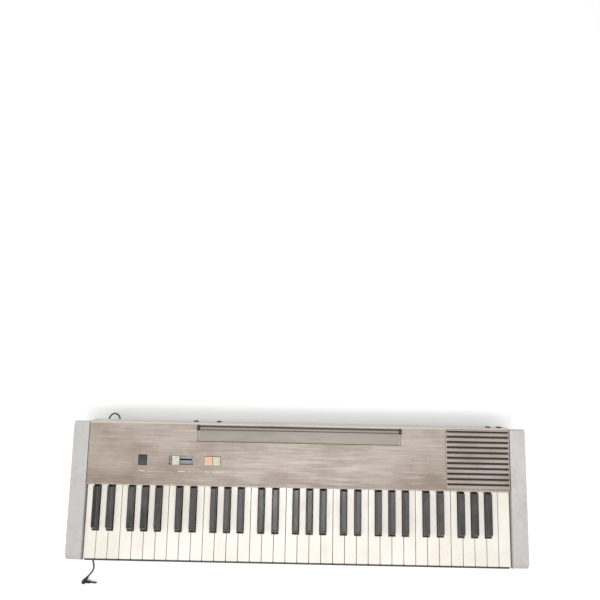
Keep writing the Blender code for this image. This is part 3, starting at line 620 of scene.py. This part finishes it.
class PIANO_OT_slider_liner(bpy.types.Operator):
    """Line the slider's trough: two strips beside the slot and two past its ends"""

    bl_idname = "piano.slider_liner"
    bl_label = "Slider liner"

    def execute(self, context):
        # The slider runs over a grey liner that hides the slot's edges
        finish = plain_moulding("moulded mid-grey ABS", "9B9CA1", "86878B", 0.45)
        floor = PANEL_TOP - TROUGH_DEPTH_MM * MM
        low, high = LINER_LOW_MM, LINER_HIGH_MM
        strips = (
            (low, (high[0], SLOT_Y_MM[0])), ((low[0], SLOT_Y_MM[1]), high),
            ((low[0], SLOT_Y_MM[0]), (SLOT_X_MM[0], SLOT_Y_MM[1])),
            ((SLOT_X_MM[1], SLOT_Y_MM[0]), (high[0], SLOT_Y_MM[1])),
        )
        for number, (corner, other) in enumerate(strips, 1):
            bm = bmesh.new()
            slab(bm, (corner[0] * MM, corner[1] * MM, floor),
                 (other[0] * MM, other[1] * MM, floor + LINER_THICK_MM * MM))
            make_piece(f"slider_liner_{number}", bm, finish)
        return {"FINISHED"}


class PIANO_OT_rear_sockets(bpy.types.Operator):
    """Set the rings of the sockets in the rear skirt, each with its dark bore"""

    bl_idname = "piano.rear_sockets"
    bl_label = "Rear sockets"

    def execute(self, context):
        profile = [(radius * MM, height * MM) for radius, height in SOCKET_RING_MM]
        for number, x in enumerate(SOCKETS_MM, 1):
            bm = bmesh.new()
            turned(bm, profile, (x * MM, PANEL_HIGH[1], SOCKET_UP_MM * MM), "Y")
            make_piece(f"rear_socket_{number}", bm, black_nylon())
        return {"FINISHED"}


class PIANO_OT_printed_marks(bpy.types.Operator):
    """Print plain bars where the panel's control legends are"""

    bl_idname = "piano.printed_marks"
    bl_label = "Printed marks"

    def execute(self, context):
        finish = plain_moulding("screen printed pale ink", "E2DDD6", "D3CCC4", 0.6)
        bm = bmesh.new()
        half = MARK_HALF_MM * MM
        for left, right, y in MARKS_MM:
            slab(bm, (left * MM, y * MM - half, PANEL_TOP),
                 (right * MM, y * MM + half, PANEL_TOP + INK_MM * MM))
        make_piece("printed_marks", bm, finish)
        return {"FINISHED"}


class PIANO_OT_housing_screws(bpy.types.Operator):
    """Drive cross-slotted pan heads into the tray from below"""

    bl_idname = "piano.housing_screws"
    bl_label = "Housing screws"

    def execute(self, context):
        finish = metal("black zinc screw steel", "4A4A4C", "2E2E30", 0.42, 0.5)
        profile = [(radius * MM, height * MM) for radius, height in SCREW_HEAD_MM]
        places = [(x, y) for x in SCREW_X_MM for y in SCREW_Y_MM]
        for number, (x, y) in enumerate(places, 1):
            bm = bmesh.new()
            turned(bm, profile, (x * MM, y * MM, TRAY_FLOOR))
            screw = make_piece(f"housing_screw_{number:02d}", bm, finish)
            blade = bmesh.new()
            for wide, deep in ((CROSS_LONG_MM, CROSS_WIDE_MM), (CROSS_WIDE_MM, CROSS_LONG_MM)):
                at = Vector((x * MM, y * MM, TRAY_FLOOR - SCREW_PROUD_MM * MM))
                reach = Vector((wide * MM, deep * MM, CROSS_DEEP_MM * MM))
                slab(blade, at - reach, at + reach)
            self.carve(screw, blade)
        return {"FINISHED"}

    @staticmethod
    def carve(piece, bm):
        """Cuts a shape out of a piece and keeps the plain result."""
        mesh = bpy.data.meshes.new("blade")
        bmesh.ops.recalc_face_normals(bm, faces=bm.faces)
        bm.to_mesh(mesh)
        bm.free()
        tool = bpy.data.objects.new("blade", mesh)
        bpy.context.scene.collection.objects.link(tool)
        change = piece.modifiers.new("Cross", "BOOLEAN")
        change.operation, change.solver, change.object = "DIFFERENCE", "EXACT", tool
        change.use_self = True
        bpy.context.view_layer.update()
        seen = piece.evaluated_get(bpy.context.evaluated_depsgraph_get())
        result = bpy.data.meshes.new_from_object(seen)
        piece.modifiers.clear()
        piece.data = result
        bpy.data.objects.remove(tool)
        bpy.data.meshes.remove(mesh)


class PIANO_OT_stage(bpy.types.Operator):
    """Set the white floor, the soft lamps and the camera"""

    bl_idname = "piano.stage"
    bl_label = "Stage"

    def execute(self, context):
        scene = context.scene
        self.floor(scene)
        self.world(scene)
        power = scene.piano_settings.lamp_power
        self.lamp(scene, "overhead lamp", (0.15, -0.30, 2.1), (2.2, 1.4), power)
        self.lamp(scene, "window", (0.05, -0.34, 2.0), (0.55, 0.45), 9.0)
        self.lamp(scene, "side lamp", (-1.6, 0.9, 1.5), (1.2, 1.2), 7.0)
        self.camera(scene)
        scene.view_settings.view_transform = "Standard"
        return {"FINISHED"}

    @staticmethod
    def floor(scene):
        bm = bmesh.new()
        bmesh.ops.create_grid(bm, x_segments=1, y_segments=1, size=FLOOR_HALF)
        mesh = bpy.data.meshes.new("floor")
        bm.to_mesh(mesh)
        bm.free()
        white = bpy.data.materials.new("matt white paper")
        white.use_nodes = True
        tree = white.node_tree
        shader = tree.nodes["Principled BSDF"]
        shader.inputs["Base Color"].default_value = linear("E8E8E7")
        shader.inputs["Roughness"].default_value = 0.9
        shader.inputs["Specular IOR Level"].default_value = 0.0
        path = add_node(tree, "LightPath")
        rays = {0: path.outputs["Is Camera Ray"], 1: path.outputs["Is Glossy Ray"]}
        seen = add_node(tree, "Math", rays, operation="MAXIMUM").outputs[0]
        seen = add_node(tree, "Math", {0: seen, 1: path.outputs["Is Transmission Ray"]},
                        operation="MAXIMUM").outputs[0]
        glow = add_node(tree, "Math", {0: seen, 1: FLOOR_GLOW}, operation="MULTIPLY").outputs[0]
        light = add_node(tree, "Emission", {"Color": (1.0, 1.0, 1.0, 1.0), "Strength": glow})
        both = add_node(tree, "AddShader", {0: shader.outputs[0], 1: light.outputs[0]})
        tree.links.new(both.outputs[0], tree.nodes["Material Output"].inputs["Surface"])
        mesh.materials.append(white)
        floor = bpy.data.objects.new("floor", mesh)
        scene.collection.objects.link(floor)

    @staticmethod
    def world(scene):
        world = bpy.data.worlds.new("soft white room")
        world.use_nodes = True
        tree = world.node_tree
        back = tree.nodes["Background"]
        back.inputs["Color"].default_value = (1.0, 1.0, 1.0, 1.0)
        path = add_node(tree, "LightPath")
        strength = add_node(tree, "MapRange", {
            "Value": path.outputs["Is Camera Ray"], "To Min": 0.5, "To Max": 1.0})
        tree.links.new(strength.outputs[0], back.inputs["Strength"])
        scene.world = world

    @staticmethod
    def lamp(scene, name, place, size, power):
        light = bpy.data.lights.new(name, "AREA")
        light.shape = "RECTANGLE"
        light.size, light.size_y = size
        light.energy = power
        lamp = bpy.data.objects.new(name, light)
        lamp.location = place
        lamp.rotation_euler = (-Vector(place)).to_track_quat("-Z", "Y").to_euler()
        scene.collection.objects.link(lamp)

    @staticmethod
    def camera(scene):
        data = bpy.data.cameras.new("camera")
        data.sensor_width = SENSOR_MM
        data.lens = FOCAL_PX / FRAME_PX * SENSOR_MM
        camera = bpy.data.objects.new("camera", data)
        turn = (Matrix.Rotation(math.radians(CAMERA_YAW), 4, "Y")
                @ Matrix.Rotation(math.radians(CAMERA_TILT), 4, "X")
                @ Matrix.Rotation(math.radians(CAMERA_ROLL), 4, "Z"))
        camera.matrix_world = Matrix.Translation(CAMERA_AT) @ turn
        scene.collection.objects.link(camera)
        scene.camera = camera


class PIANO_PT_panel(bpy.types.Panel):
    """Lists the settings and the steps"""

    bl_idname = "PIANO_PT_panel"
    bl_label = "Table-top piano"
    bl_space_type = "VIEW_3D"
    bl_region_type = "UI"
    bl_category = "Piano"

    def draw(self, context):
        settings = context.scene.piano_settings
        for name in PianoSettings.__annotations__:
            self.layout.prop(settings, name)
        for step in STEPS:
            self.layout.operator(step.bl_idname)


STEPS = (
    PIANO_OT_stage, PIANO_OT_housing, PIANO_OT_keys, PIANO_OT_works, PIANO_OT_controls, PIANO_OT_lead,
    PIANO_OT_grille_cloth, PIANO_OT_rest_caps, PIANO_OT_slider_liner, PIANO_OT_rear_sockets,
    PIANO_OT_printed_marks, PIANO_OT_housing_screws,
)


def register():
    for item in (PianoSettings, *STEPS, PIANO_PT_panel):
        bpy.utils.register_class(item)
    bpy.types.Scene.piano_settings = bpy.props.PointerProperty(type=PianoSettings)


def unregister():
    del bpy.types.Scene.piano_settings
    for item in (PIANO_PT_panel, *reversed(STEPS), PianoSettings):
        bpy.utils.unregister_class(item)


def main():
    register()
    bpy.ops.piano.stage()
    bpy.ops.piano.housing()
    bpy.ops.piano.keys()
    bpy.ops.piano.works()
    bpy.ops.piano.controls()
    bpy.ops.piano.lead()
    bpy.ops.piano.grille_cloth()
    bpy.ops.piano.rest_caps()
    bpy.ops.piano.slider_liner()
    bpy.ops.piano.rear_sockets()
    bpy.ops.piano.printed_marks()
    bpy.ops.piano.housing_screws()


if __name__ == "__main__":
    main()
